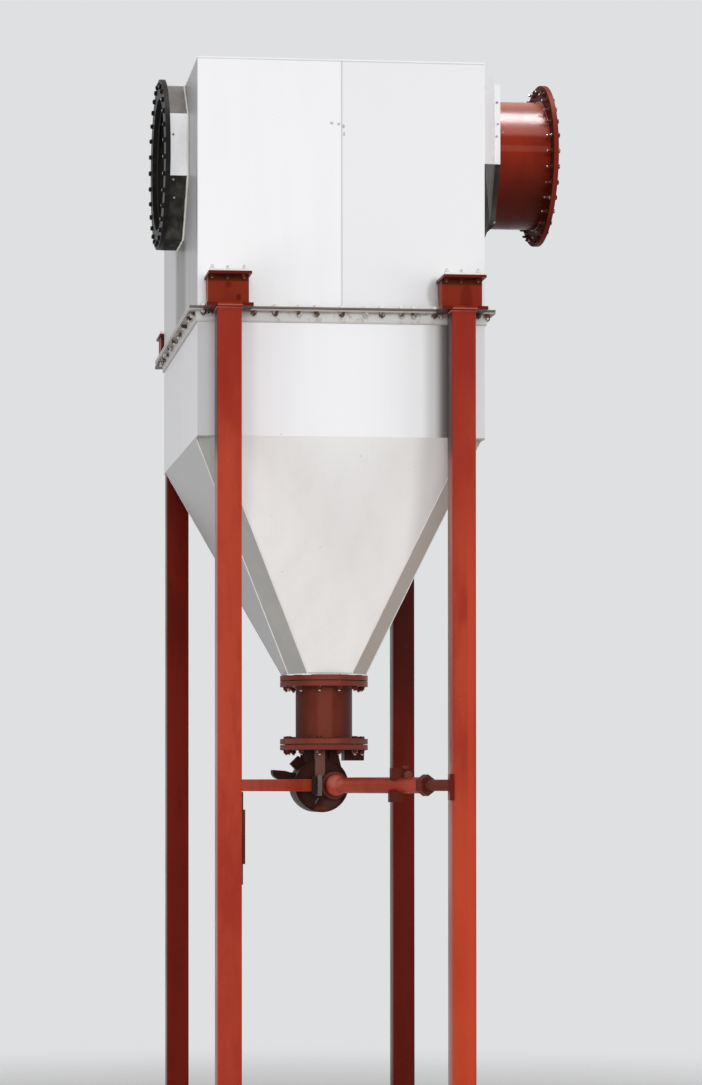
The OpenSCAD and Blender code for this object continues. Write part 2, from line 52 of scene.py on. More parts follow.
# Camera at the photograph's place, in metres; its centre and focal length are in the photograph's pixels
PHOTO_W, PHOTO_H = 702, 1085
CENTRE_X, CENTRE_Y = 166.3, 760.0
FOCAL_PX = 2836.6
SENSOR_MM = 36
YAW, PITCH = math.radians(5.45), math.radians(0.5)
cam_data = bpy.data.cameras.new("camera")
cam = bpy.data.objects.new("camera", cam_data)
bpy.context.scene.collection.objects.link(cam)
cam.location = (-1.7589, -10.951, 1.552)
cam.rotation_euler = (math.radians(90) + PITCH, 0, -YAW)
cam_data.sensor_width = SENSOR_MM
cam_data.lens = FOCAL_PX / PHOTO_H * SENSOR_MM
cam_data.shift_x = (PHOTO_W / 2 - CENTRE_X) / PHOTO_H
cam_data.shift_y = (CENTRE_Y - PHOTO_H / 2) / PHOTO_H
bpy.context.scene.camera = cam

# Sizes of the steel as in the solids, and the rounding of the leg tubes, which the solids don't have
TUBE, TUBE_ROUNDING = 0.09, 0.008
BASE, BASE_THICK, ANCHOR_REACH = 0.2, 0.015, 0.075
SPLIT_PLATE = 0.006
DROP_FLANGE, DROP_BOLT_RADIUS = 0.020, 0.1475
SPOOL_WALL = 0.0063
VALVE_PLATE = 0.016
CORNER_CUT, THROAT_HALF = 0.066, 0.15

# Bolts: the washer's thickness, and the rest as parts of the bolt's size
WASHER = 0.0025
HEX_RADIUS, WASHER_RADIUS, HEAD_HIGH, NUT_HIGH, THREAD = 0.93, 1.02, 0.65, 0.8, 0.85


def middle(node):
    """Centre of a node's box"""
    return [(low + high) / 2 for low, high in zip(*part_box(node))]


# Planes and centres, read from the solids
(left, front, _), (right, back, roof_z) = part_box("roof")
mid_x = (left + right) / 2
split_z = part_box("housing_flange")[1][2]
flange_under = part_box("split_gasket")[0][2] - SPLIT_PLATE
crease_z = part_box("skirt_front")[0][2]
throat_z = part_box("throat_flange")[1][2]
throat_x, axis_y, _ = middle("throat_flange")
LEGS = {tag: Vector(middle("leg_" + tag)) for tag in ("fl", "fr", "bl", "br")}
leg_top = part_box("leg_fl")[1][2]
head_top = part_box("leg_heads")[1][2]
foot_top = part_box("foot_plates")[1][2]
inlet_z = middle("inlet_flange")[2]
outlet_z = middle("outlet_flange")[2]
(spool_left, _, spool_low), (spool_right, _, spool_high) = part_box("spool")
low_flange_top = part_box("spool_flanges")[0][2] + DROP_FLANGE
neck_flange_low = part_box("valve_neck")[1][2] - DROP_FLANGE
valve_x, _, valve_z = middle("valve_cover")
cover_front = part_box("valve_cover")[0][1]
plate_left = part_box("valve_plate")[1][0] - VALVE_PLATE
stub_left, stub_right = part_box("outlet_stub")[0][0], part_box("outlet_stub")[1][0]
MOUNTS = {mount["name"]: mount for mount in frame["record"]["mounts"]}


# Shader building
class Value:
    """A node's output that takes part in expressions"""
    def __init__(self, nodes, socket):
        self.nodes, self.socket = nodes, socket

    def __add__(self, other): return self.nodes.maths("ADD", self, other)
    def __sub__(self, other): return self.nodes.maths("SUBTRACT", self, other)
    def __rsub__(self, other): return self.nodes.maths("SUBTRACT", other, self)
    def __mul__(self, other): return self.nodes.maths("MULTIPLY", self, other)
    def __truediv__(self, other): return self.nodes.maths("DIVIDE", self, other)
    def __pow__(self, other): return self.nodes.maths("POWER", self, other)
    def __or__(self, other): return self.nodes.maths("MAXIMUM", self, other)
    def __abs__(self): return self.nodes.maths("ABSOLUTE", self, 0)
    __radd__ = __add__


class Outputs:
    """The outputs of a made node, by name or number"""
    def __init__(self, nodes, outputs):
        self.nodes, self.outputs = nodes, outputs

    def __getitem__(self, key): return Value(self.nodes, self.outputs[key])


class Nodes:
    """A node tree whose nodes all come from one method"""
    def __init__(self, tree):
        self.tree = tree

    def node(self, kind, settings, sockets):
        made = self.tree.nodes.new(kind)
        for key, value in settings.items():
            setattr(made, key, value)
        for key, value in sockets.items():
            self.put(made.inputs[key], value)
        return Outputs(self, made.outputs)

    def put(self, socket, value):
        """Links a value to the socket, or sets a constant on it"""
        if isinstance(value, Value):
            self.tree.links.new(value.socket, socket)
        elif socket.type == "RGBA":
            socket.default_value = (*value, 1)
        else:
            socket.default_value = value

    def maths(self, operation, a, b):
        return self.node("ShaderNodeMath", {"operation": operation}, {0: a, 1: b})["Value"]

    def ease(self, value, low, high):
        """0 below low, 1 above high, smooth between"""
        return self.node("ShaderNodeMapRange", {"interpolation_type": "SMOOTHSTEP"},
                         {"Value": value, "From Min": low, "From Max": high})["Result"]

    def fade(self, value, low, high): return 1 - self.ease(value, low, high)

    def tint(self, factor, a, b):
        """Colour a where the factor is 0, colour b where it is 1"""
        return self.node("ShaderNodeMix", {"data_type": "RGBA"}, {0: factor, 6: a, 7: b})[2]


class Finish(Nodes):
    """A material: x, y, z are the place on the object in metres, facing_x, facing_y and up its direction"""
    def __init__(self, name):
        self.material = bpy.data.materials.new(name)
        self.material.use_nodes = True
        super().__init__(self.material.node_tree)
        self.skin = self.tree.nodes["Principled BSDF"]
        coords = self.node("ShaderNodeTexCoord", {}, {})
        self.place = coords["Object"]
        axes = self.node("ShaderNodeSeparateXYZ", {}, {0: self.place})
        self.x, self.y, self.z = axes["X"], axes["Y"], axes["Z"]
        facing = self.node("ShaderNodeSeparateXYZ", {}, {0: coords["Normal"]})
        self.facing_x, self.facing_y, self.up = facing["X"], facing["Y"], facing["Z"]

    def noise(self, scale, detail=3.0, rough=0.5, stretch=(1, 1, 1), shift=(0, 0, 0)):
        spot = self.node("ShaderNodeMapping", {}, {"Vector": self.place, "Scale": stretch, "Location": shift})
        return self.node("ShaderNodeTexNoise", {}, {"Vector": spot["Vector"], "Scale": scale, "Detail": detail,
                                                    "Roughness": rough})["Fac"]

    def near(self, ovals, wobble=0.0):
        """1 inside the oval given as (axis, centre, half width) triples, 0 outside"""
        first, *others = [((axis - centre) / half) ** 2 for axis, centre, half in ovals]
        total = sum(others, first)
        if wobble:
            total = total + (self.noise(45) - 0.5) * wobble
        return self.fade(total, 0.25, 1.0)

    def inner(self, centre_z):
        """1 on faces that look in towards a duct's axis at that height"""
        outward = (self.y - axis_y) * self.facing_y + (self.z - centre_z) * self.up
        return self.ease(0 - outward, 0.0, 0.02)

    def marked(self, colour, marks):
        """The colour under the marks, a function that gives tints and the masks they cover"""
        for tint, mask in (marks(self) if marks else ()):
            colour = self.tint(mask, colour, tint)
        return colour

    def wear(self, colour, rough, height=None, strength=0.2, distance=0.001):
        """Colour, roughness and relief of the surface"""
        self.put(self.skin.inputs["Base Color"], colour)
        self.put(self.skin.inputs["Roughness"], rough)
        if height is not None:
            relief = {"Strength": strength, "Distance": distance, "Height": height}
            self.put(self.skin.inputs["Normal"], self.node("ShaderNodeBump", {}, relief)["Normal"])
        return self

    def shader(self, **values):
        """More of the shader's sockets, with _ for the spaces in their names"""
        for name, value in values.items():
            self.put(self.skin.inputs[name.replace("_", " ")], value)
        return self


# Colours of dirt, wear and painted shade that come up more than once
INSIDE_SHADE = (0.045, 0.040, 0.036)
RUST = (0.20, 0.085, 0.045)
SHADE = (0.42, 0.41, 0.38)
LEG_SHADOW_GREY = (0.42, 0.415, 0.40)
DUST = (0.56, 0.53, 0.49)
DULL_ZINC = (0.62, 0.60, 0.57)


def enamel(name, tone=(0.85, 0.85, 0.862), grime=0.05, marks=None, within=None):
    """White satin paint on sheet: faint clouds, runs of dust, rust specks and slow waves; painted shade within
    """
    f = Finish(name)
    clouds = f.noise(1.6)
    runs = f.noise(5, 4, 0.6, stretch=(3, 3, 0.25))
    specks = f.ease(f.noise(70, 2, 0.5), 0.77, 0.80)
    dusty = f.ease(clouds * 0.5 + runs * 0.5, 0.42, 0.68)
    colour = f.tint(dusty * grime * 3, tone, DUST)
    colour = f.tint(specks * 0.5, colour, (0.24, 0.11, 0.06))
    colour = f.marked(colour, marks)
    if within:
        # painted shade on the inner faces
        colour = f.tint(within(f) * (0.85 + runs * 0.15), colour, INSIDE_SHADE)
    relief = f.noise(260, 2) * 0.25 + f.noise(2.2, 2) * 6
    return f.wear(colour, 0.36 + runs * 0.16, relief, 0.2, 0.0012).shader(Coat_Weight=0.1, Coat_Roughness=0.2)


def gloss_paint(name, tone, deep, pale, rough=0.30, coat=None, shine=0.25, marks=None):
    """Oxide paint with brown patches, pale scuffs, drips and brush marks; coat gives its gloss by place"""
    f = Finish(name)
    patches = f.ease(f.noise(5.5, 4, 0.6, stretch=(1.2, 1.2, 0.35)), 0.42, 0.66)
    runs = f.ease(f.noise(22, 4, 0.6, stretch=(1, 1, 0.14), shift=(3, 1, 2)), 0.5, 0.72)
    scuffs = f.ease(f.noise(34, 5, 0.7, shift=(9, 2, 5)), 0.66, 0.76)
    colour = f.tint(patches * 0.6, tone, deep)
    colour = f.tint(runs * 0.35, colour, deep)
    colour = f.marked(colour, marks)
    colour = f.tint(scuffs * 0.3, colour, pale)
    relief = f.noise(300, 2) * 0.3 + runs * 0.6 + f.noise(14) * 1.2
    return f.wear(colour, rough + patches * 0.12 + scuffs * 0.15, relief, 0.25, 0.001).shader(
        Coat_Weight=coat(f) if coat else 0.0, Coat_Roughness=0.24, Specular_IOR_Level=shine)


def upper_gloss(f): return f.ease(f.up, 0.05, 0.5) * 0.27


def weathered_zinc(name, front_tone):
    """Bare galvanised sheet: bright where it faces the front, brown where it turns up, partly grime and partly
    painted shade, and a painted dark reflection where it turns down; painted shade inside
    """
    f = Finish(name)
    streaks = f.noise(9, 5, 0.6, stretch=(2.5, 2.5, 0.5))
    crystals = f.node("ShaderNodeTexVoronoi", {}, {"Vector": f.place, "Scale": 55.0})["Distance"]
    under = f.ease(0 - f.up, 0.06, 0.15)
    above = f.ease(f.up, 0.2, 0.5)
    bright = (front_tone, front_tone, front_tone + 0.01)
    colour = f.tint(f.ease(streaks, 0.42, 0.7) * 0.16, bright, DULL_ZINC)
    colour = f.tint(crystals * 0.06, colour, (0.50, 0.51, 0.53))
    # brown where it turns up: grime and painted shade
    colour = f.tint(above * (0.72 + streaks * 0.3), colour, (0.17, 0.15, 0.13))
    # painted dark reflection where it turns down
    colour = f.tint(under * (0.88 + streaks * 0.2), colour, (0.030, 0.028, 0.023))
    rust = f.ease(f.noise(26, 4, 0.65), 0.64, 0.76)
    colour = f.tint(rust * 0.4, colour, (0.22, 0.10, 0.055))
    # painted shade on the inner faces
    inside = f.ease(0 - f.facing_x, 0.3, 0.6) | f.inner((inlet_z + outlet_z) / 2)
    colour = f.tint(inside, colour, INSIDE_SHADE)
    rough = 0.42 + streaks * 0.2 + under * 0.4
    return f.wear(colour, rough, streaks * 2 + crystals * 0.4, 0.2, 0.001).shader(Specular_IOR_Level=0.07)


def fixings(name, zinc, brown=(0.105, 0.055, 0.035)):
    """Bolts, nuts and washers: zinc that goes over to brown rust, zinc being the share left bright"""
    f = Finish(name)
    rust = f.ease(f.noise(38, 4, 0.6), 0.24 + zinc * 0.4, 0.38 + zinc * 0.4)
    colour = f.tint(rust, DULL_ZINC, brown)
    return f.wear(colour, 0.38 + rust * 0.4, f.noise(400, 2) + rust, 0.3, 0.0006).shader(
        Metallic=(1 - rust) * 0.6, Specular_IOR_Level=0.25)


def plain_gloss(name, tone, rough, shine=0.4):
    """Even dark coat with dust in it"""
    f = Finish(name)
    dust = f.ease(f.noise(30, 4, 0.6), 0.5, 0.75)
    colour = f.tint(dust * 0.15, tone, (0.12, 0.11, 0.10))
    return f.wear(colour, rough + dust * 0.2, f.noise(180), 0.2, 0.0008).shader(Specular_IOR_Level=shine)


def inside_housing(f):
    """1 on the housing's inner faces"""
    def within(distance, limit): return f.fade(distance, limit - 0.004, limit - 0.002)
    return within(abs(f.x - mid_x), (right - left) / 2) * within(abs(f.y), back) * within(f.z, roof_z)


def inside_hopper(f): return f.ease(f.up, 0.1, 0.3) * f.fade(f.z, crease_z - 0.004, crease_z - 0.001)


# Marks in their places, each as a tint and the mask that it covers
def front_marks(f):
    """Duller right half, the right head's painted shadow, a painted shade line under the roof's edge, rust spots
    left of the seam, rust along the foot
    """
    yield (0.79, 0.79, 0.803), f.ease(f.x, mid_x - 0.001, mid_x + 0.001)
    # painted shadow of the right leg's head on the wall
    yield (0.24, 0.23, 0.20), f.near([(f.x, 0.222, 0.040), (f.z, 3.362, 0.070)]) * 0.5
    # painted shade line under the roof's edge
    yield SHADE, f.near([(f.z, roof_z - 0.006, 0.004)]) * 0.5
    for x, z, half_w, half_h in ((-0.1655, 3.984, 0.0104, 0.0072), (-0.140, 3.981, 0.0072, 0.0064),
                                 (-0.1215, 3.973, 0.0064, 0.0088), (-0.1195, 3.944, 0.0040, 0.0096)):
        yield RUST, f.near([(f.x, x, half_w), (f.z, z, half_h)], 1.2) * 0.5
    seam = f.fade(abs(f.x - mid_x), 0.001, 0.004)
    yield SHADE, seam * 0.55
    foot = f.fade(f.z - split_z, 0.0, 0.035)
    yield RUST, foot * f.ease(f.noise(30, 4, 0.6, stretch=(1, 1, 0.5)), 0.56, 0.72) * 0.12


def side_marks(f):
    """Darker to the front; a grey band with drips under the inlet; a painted dark reflection at the front edge;
    pale foot
    """
    yield (0.405, 0.405, 0.41), f.fade(f.y, -0.40, 0.30)
    inlet_side = f.fade(f.x, 0.0, 0.1)
    low = f.fade(f.z, inlet_z - 0.34, inlet_z - 0.20)
    band = f.near([(f.y, -0.035, 0.23)]) * low
    yield (0.20, 0.195, 0.185), band * (0.70 + f.noise(18, 4, 0.6, stretch=(1, 1.6, 0.12)) * 0.5)
    for y, half, depth in ((0.078, 0.014, 0.75), (0.012, 0.008, 0.5), (-0.060, 0.010, 0.45),
                           (-0.139, 0.016, 0.6)):
        drip = f.near([(f.y, y, half)]) * f.ease(f.z, inlet_z - 0.43, inlet_z - 0.33) * low * inlet_side
        yield (0.075, 0.055, 0.042), drip * depth
    # painted dark reflection near the front edge
    edge = f.fade(f.y, front + 0.01, front + 0.10) * inlet_side
    yield (0.05, 0.05, 0.052), edge * f.fade(abs(f.z - 3.68), 0.02, 0.24) * 0.45
    yield (0.55, 0.54, 0.52), f.fade(f.z - split_z, 0.0, 0.09) * 0.35


def painted_leg_shadows(f, begins=0.13, full=0.21):
    """Painted shadows of the front legs on the front sheets, inside the legs; begins and full are its X at the
    right leg
    """
    behind_right_leg = f.fade(f.x, 0.29, 0.33)
    # painted shadow inside the right leg
    yield LEG_SHADOW_GREY, f.ease(f.x, begins, full) * behind_right_leg * f.ease(f.z, 2.2, 2.45) * 0.55
    # painted shadow inside the left leg
    yield LEG_SHADOW_GREY, f.fade(f.x, -0.475, -0.425) * f.ease(f.x, -0.56, -0.53) * 0.28


def skirt_painted_shadows(f):
    """Painted shadows of the front legs: inside them, darkest at the right one, and duller strips outside them
    """
    yield from painted_leg_shadows(f, 0.165, 0.210)
    # painted dark shadow beside the right leg
    yield (0.07, 0.06, 0.055), f.ease(f.x, 0.212, 0.255) * f.fade(f.x, 0.29, 0.33) * 0.85
    # painted shade on the strips outside both legs
    yield (0.50, 0.50, 0.515), f.fade(f.x, left + 0.045, left + 0.13) * 0.9
    yield (0.66, 0.66, 0.67), f.ease(f.x, right - 0.10, right - 0.05) * 0.8


def corner_marks(f):
    """Brown dirt on the two hopper corners under the outlet"""
    yield (0.40, 0.34, 0.295), f.ease(f.x - throat_x, 0.02, 0.08) * (0.55 + f.noise(7, 4, 0.6) * 0.6)


def front_leg_marks(f):
    """Browner above, more orange low on the right leg, a painted highlight down the right leg, browner paler
    sides as painted light with painted shade at their tops, rust at the valve end of the stay
    """
    right_leg = f.ease(f.x, -0.1, 0.1)
    low = f.fade(f.z, 1.0, 1.7)
    yield (0.27, 0.020, 0.008), f.ease(f.z, 2.2, 2.6) * right_leg * 0.35
    yield (0.50, 0.052, 0.014), low * right_leg * 0.5
    yield (0.28, 0.018, 0.006), low * (1 - right_leg) * 0.35
    yield (0.23, 0.010, 0.003), f.ease(f.z, 2.75, 3.15) * 0.72
    # painted highlight down the right leg
    yield (0.50, 0.045, 0.016), f.near([(f.x, 0.325, 0.014)]) * f.fade(f.z, 2.2, 2.7) * 0.6
    # painted light on the legs' left sides, painted shade at their tops
    side = f.ease(0 - f.facing_x, 0.6, 0.9)
    yield (0.28, 0.13, 0.10), side * 0.6
    yield (0.05, 0.012, 0.008), side * f.ease(f.z, 2.70, 2.80) * 0.9
    yield (0.30, 0.060, 0.014), f.near([(f.x, -0.200, 0.026), (f.z, valve_z, 0.035)], 0.8) * 0.6


def back_leg_painted_shade(f):
    """Painted shade: the right back leg is darker, most of all above"""
    right_leg = f.ease(f.x, 0.0, 0.1)
    yield (0.035, 0.003, 0.001), f.ease(f.z, 1.5, 2.1) * right_leg * 0.88
    yield (0.060, 0.004, 0.001), f.fade(f.z, 1.0, 1.6) * right_leg * 0.4


def head_marks(f):
    """Old paint on both front heads, brown painted shade under the top plates, dark plate edges, painted shade
    on the ends of the lower caps and on faces that look down, and a pale weld line
    """
    for x, z, half_w, half_h, depth in ((0.318, 3.325, 0.028, 0.085, 0.42), (-0.557, 3.368, 0.013, 0.015, 0.45),
                                        (-0.521, 3.323, 0.011, 0.016, 0.7)):
        yield (0.085, 0.004, 0.002), f.near([(f.x, x, half_w), (f.z, z, half_h)], 0.4) * depth
    yield (0.07, 0.018, 0.006), f.near([(f.z, head_top - 0.019, 0.010)]) * 0.8
    yield (0.105, 0.008, 0.008), f.ease(f.z, head_top - 0.0115, head_top - 0.0095) * 0.85
    from_leg = abs(abs(f.x - mid_x) - (LEGS["fr"].x - mid_x))
    cap = f.fade(f.z, leg_top + 0.011, leg_top + 0.013)
    yield (0.46, 0.12, 0.09), f.near([(f.z, leg_top + 0.001, 0.005)]) * f.fade(from_leg, 0.044, 0.047) * 0.7
    # painted shade on the ends of the lower caps
    yield (0.09, 0.006, 0.005), cap * f.ease(from_leg, 0.044, 0.047) * 0.8
    # painted shade on the faces that look down
    yield (0.045, 0.010, 0.006), f.ease(0 - f.up, 0.5, 0.9) * 0.9


def stub_painted_light(f):
    """Painted light on the upper half of the stub, a faint painted highlight band round its middle, painted
    shade on its underside and inside
    """
    yield (0.80, 0.22, 0.13), f.ease(f.up, 0.66, 0.90) * 0.9
    yield (0.46, 0.12, 0.09), f.near([(f.up, 0.44, 0.20)]) * 0.7
    yield (0.36, 0.085, 0.06), f.near([(f.up, 0.06, 0.06)]) * 0.35
    yield (0.050, 0.005, 0.002), f.ease(0 - f.up, -0.25, 0.75) * 0.85
    yield INSIDE_SHADE, f.inner(outlet_z)


def ring_painted_light(f):
    """The outlet flange: painted light in orange on the upper edge, painted shade in brown on the face towards
    the housing
    """
    yield (0.40, 0.065, 0.030), f.ease(f.up, 0.2, 0.8) * 0.7
    yield (0.075, 0.017, 0.010), f.ease(0 - f.facing_x, 0.5, 0.9) * 0.8


def spool_painted_shading(f):
    """Painted shade towards both sides, painted light down the front"""
    pale_x = throat_x - 0.012
    yield (0.042, 0.008, 0.004), f.ease(abs(f.x - pale_x), 0.035, 0.105) * 0.8
    yield (0.19, 0.048, 0.032), f.near([(f.x, pale_x, 0.035)]) * f.fade(f.facing_y, -0.5, 0.0) * 0.5


def neck_marks(f):
    """The valve's flange is as brown as the flange above it; its cover is rusty low down"""
    yield (0.15, 0.034, 0.022), f.ease(f.z, neck_flange_low, neck_flange_low + 0.001)
    yield (0.070, 0.032, 0.022), f.near([(f.x, -0.085, 0.055), (f.z, 1.475, 0.032)], 0.5) * 0.5
    yield (0.100, 0.022, 0.014), f.near([(f.x, -0.130, 0.032), (f.z, 1.457, 0.018)], 0.8) * 0.7


def elbow_marks(f):
    """Dark ring at the valve, and painted light where the elbow bulges"""
    # painted light on the elbow's bulge
    yield (0.52, 0.16, 0.11), f.near([(f.x, -0.092, 0.034), (f.z, 1.568, 0.034)]) * 0.5
    yield (0.075, 0.013, 0.009), f.ease(f.y, cover_front - 0.0155, cover_front - 0.0145) * 0.9


def plate_marks(f):
    """The block beside the valve's upright plate is almost black"""
    yield (0.020, 0.009, 0.007), f.fade(f.x, plate_left - 0.001, plate_left)


def flange_marks(f):
    """Rusty patches, brown undersides that are partly dirt and partly painted shade, darkest at the right end,
    grey lower leg of the angle and one dark edge at the front
    """
    patches = f.ease(f.noise(36, 4, 0.6), 0.52, 0.68)
    yield RUST, patches * 0.35
    under = f.ease(0 - f.up, 0.5, 0.9)
    behind_front = f.ease(f.y, front - 0.002, front + 0.002)
    # undersides browner: dirt and painted shade
    yield (0.16, 0.135, 0.115), under * (0.65 + patches * 0.3) * (0.4 + behind_front * 0.6)
    # painted shade under the right end
    yield (0.09, 0.085, 0.085), under * f.ease(f.x, right - 0.03, right + 0.01) * 0.8
    low = f.fade(f.z, flange_under - 0.036, flange_under - 0.030)
    yield (0.42, 0.40, 0.38), low * 0.6
    ahead = f.ease(0 - f.facing_y, 0.5, 0.9)
    yield (0.30, 0.275, 0.25), ahead * f.ease(f.z, flange_under - 0.001, flange_under) * 0.8
    yield (0.10, 0.092, 0.086), ahead * f.ease(f.z, split_z - 0.0065, split_z - 0.0055) * 0.85


# Every finish by its style; the three colours of a gloss paint are its own, its dark patches and its scuffs
HOPPER_WHITE = (0.83, 0.825, 0.81)
FINISH = {
    "front_wall": enamel("front_enamel", grime=0.02, marks=front_marks, within=inside_housing),
    # the side walls' darker tone is painted shade
    "side_wall": enamel("side_enamel", (0.60, 0.60, 0.61), 0.06, side_marks, inside_housing),
    "skirt": enamel("skirt_enamel", within=inside_housing),
    # the side skirts' darker tone is painted shade
    "side_skirt": enamel("side_skirt_enamel", (0.77, 0.77, 0.785), within=inside_housing),
    "skirt_front": enamel("front_skirt_enamel", grime=0.02, marks=skirt_painted_shadows, within=inside_housing),
    "hopper": enamel("hopper_enamel", HOPPER_WHITE, within=inside_hopper),
    "hopper_front": enamel("front_hopper_enamel", HOPPER_WHITE, marks=painted_leg_shadows, within=inside_hopper),
    # the hopper's sides and corners are painted darker as shade
    "hopper_side": enamel("hopper_side_enamel", (0.40, 0.40, 0.398), 0.06, within=inside_hopper),
    "hopper_corner": enamel("hopper_corner_enamel", (0.345, 0.345, 0.325), 0.08, corner_marks, inside_hopper),
    "flange": enamel("flange_enamel", (0.60, 0.59, 0.575), 0.12, flange_marks),
    "cream": enamel("cream_enamel", (0.84, 0.81, 0.76), 0.10),
    "painted_bolt": enamel("painted_bolt", (0.64, 0.63, 0.60), 0.15),
    "red": gloss_paint("red_oxide_gloss", (0.39, 0.042, 0.016), (0.25, 0.013, 0.005), (0.48, 0.13, 0.09),
                       marks=front_leg_marks),
    "head_red": gloss_paint("head_red_gloss", (0.225, 0.025, 0.011), (0.14, 0.012, 0.005), (0.42, 0.12, 0.09),
                            shine=0.06, marks=head_marks),
    # the back legs' dark red is the leg red with painted shade
    "back_red": gloss_paint("back_leg_red_painted_shade", (0.125, 0.0065, 0.002), (0.070, 0.004, 0.001), (0.20, 0.04, 0.03),
                            shine=0.12, marks=back_leg_painted_shade),
    # pale red for the welds and for painted glints on the head bolt ends
    "weld_red": gloss_paint("weld_red_gloss", (0.42, 0.10, 0.07), (0.25, 0.03, 0.02), (0.60, 0.30, 0.25)),
    "duct_red": gloss_paint("duct_red_gloss", (0.26, 0.020, 0.006), (0.15, 0.009, 0.003), (0.34, 0.09, 0.06),
                            0.26, upper_gloss, 0.10, stub_painted_light),
    "flange_red": gloss_paint("flange_red_paint", (0.17, 0.020, 0.010), (0.09, 0.008, 0.004), (0.34, 0.09, 0.06),
                              0.50, shine=0.04, marks=ring_painted_light),
    "flange_brown": gloss_paint("flange_brown_paint", (0.175, 0.040, 0.026), (0.085, 0.016, 0.010),
                                (0.36, 0.14, 0.11), 0.36, shine=0.15),
    "maroon": gloss_paint("maroon_paint", (0.125, 0.024, 0.013), (0.055, 0.008, 0.004), (0.24, 0.08, 0.058),
                          0.36, shine=0.12),
    "drum_brown": gloss_paint("valve_brown", (0.030, 0.0075, 0.005), (0.012, 0.004, 0.003), (0.10, 0.045, 0.035),
                              0.40, shine=0.12, marks=neck_marks),
    "stiff_brown": gloss_paint("stiffener_brown", (0.145, 0.062, 0.052), (0.08, 0.03, 0.025), (0.24, 0.13, 0.11),
                               0.42, shine=0.12),
    "spool": gloss_paint("spool_paint", (0.135, 0.026, 0.015), (0.07, 0.010, 0.005), (0.24, 0.08, 0.058), 0.36,
                         shine=0.10, marks=spool_painted_shading),
    "purge": gloss_paint("purge_pipe_gloss", (0.38, 0.050, 0.025), (0.26, 0.022, 0.010), (0.50, 0.16, 0.12),
                         marks=elbow_marks),
    # the lug's dark red is partly painted shade beside the right front leg
    "lug_red": gloss_paint("lug_paint", (0.13, 0.010, 0.004), (0.07, 0.004, 0.002), (0.2, 0.04, 0.03),
                           shine=0.12),
    "plate_grey": gloss_paint("valve_plate_grey", (0.130, 0.097, 0.090), (0.08, 0.05, 0.045), (0.24, 0.2, 0.18),
                              0.42, shine=0.15, marks=plate_marks),
    "zinc": weathered_zinc("weathered_zinc", 0.97),
    "rim_zinc": weathered_zinc("rim_zinc", 0.80),
    "black": plain_gloss("black_gloss", (0.012, 0.012, 0.012), 0.42, 0.08),
    "gasket": plain_gloss("sealing_sheet", (0.05, 0.032, 0.024), 0.7),
    "rusty": fixings("rusted_fixings", 0.15),
    "half_rusty": fixings("half_rusted_fixings", 0.42, (0.075, 0.045, 0.033)),
    "red_bolt": fixings("red_fixings", 0.1, (0.085, 0.014, 0.008)),
    "zinc_bolt": fixings("zinc_fixings", 0.9),
    "worn_bolt": fixings("worn_fixings", 0.55, (0.16, 0.045, 0.030)),
}
# The nodes of the solids by the style that they wear
NODES_OF = {
    "front_wall": "front_wall back_wall",
    "side_wall": "left_wall right_wall",
    "skirt": "roof skirt_back",
    "skirt_front": "skirt_front",
    "side_skirt": "skirt_left skirt_right",
    "hopper": "hopper_back",
    "hopper_front": "hopper_front",
    "hopper_side": "hopper_left hopper_right",
    "hopper_corner": "hopper_corner_fl hopper_corner_fr hopper_corner_bl hopper_corner_br",
    "flange": "housing_flange hopper_flange",
    "cream": "foot_plates",
    "gasket": "split_gasket spool_gaskets",
    "black": "inlet_flange",
    "zinc": "inlet_collar outlet_hood",
    "rim_zinc": "outlet_rim",
    "duct_red": "outlet_stub",
    "flange_red": "outlet_flange",
    "flange_brown": "throat_flange spool_flanges",
    "spool": "spool",
    "red": "stay_bar leg_fl leg_fr",
    "back_red": "leg_bl leg_br",
    "head_red": "leg_heads",
    "purge": "purge_pipe",
    "maroon": "end_pipe pipe_clamp pipe_union leg_cleat",
    "drum_brown": "valve_neck valve_drum valve_cover valve_paddle",
    "plate_grey": "valve_plate",
}
for style, nodes in NODES_OF.items():
    for node in nodes.split():
        solid = frame["nodes"][node]
        solid.data.materials.clear()
        solid.data.materials.append(FINISH[style].material)


# Building pieces
def in_scene(name, data):
    obj = bpy.data.objects.new(name, data)
    bpy.context.scene.collection.objects.link(obj)
    return obj


def dressed(name, data, style):
    """A named piece with its finish, riding on the object"""
    obj = in_scene(name, data)
    data.materials.append(FINISH[style].material)
    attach(obj, "root")
    return obj


def mesh_of(name, bm):
    """The shapes in bm as a mesh"""
    mesh = bpy.data.meshes.new(name)
    bm.to_mesh(mesh)
    bm.free()
    return mesh


def piece(name, bm, style, smooth=False):
    """Turns the shapes in bm into a piece; smooth shades all but its sharp edges round"""
    mesh = mesh_of(name, bm)
    if smooth:
        mesh.shade_smooth()
        mesh.set_sharp_from_angle(angle=math.radians(35))
    return dressed(name, mesh, style)


def ease_edges(bm, verts, offset, segments, only):
    """Bevels those edges of the vertices that pass the test"""
    edges = {e for v in verts for e in v.link_edges if only(e)}
    bmesh.ops.bevel(bm, geom=list(edges), offset=offset, segments=segments, affect="EDGES", profile=0.5,
                    material=-1)


def any_edge(edge): return True


def upright(edge):
    a, b = edge.verts
    return abs(a.co.z - b.co.z) > abs(a.co.x - b.co.x) + abs(a.co.y - b.co.y)


def rod(bm, radius, low, high, sides):
    """A round or six-sided bar along Z from low to high, as its vertices"""
    made = bmesh.ops.create_cone(bm, cap_ends=True, segments=sides, radius1=radius, radius2=radius,
                                 depth=high - low, matrix=Matrix.Translation((0, 0, (low + high) / 2)))
    return made["verts"]


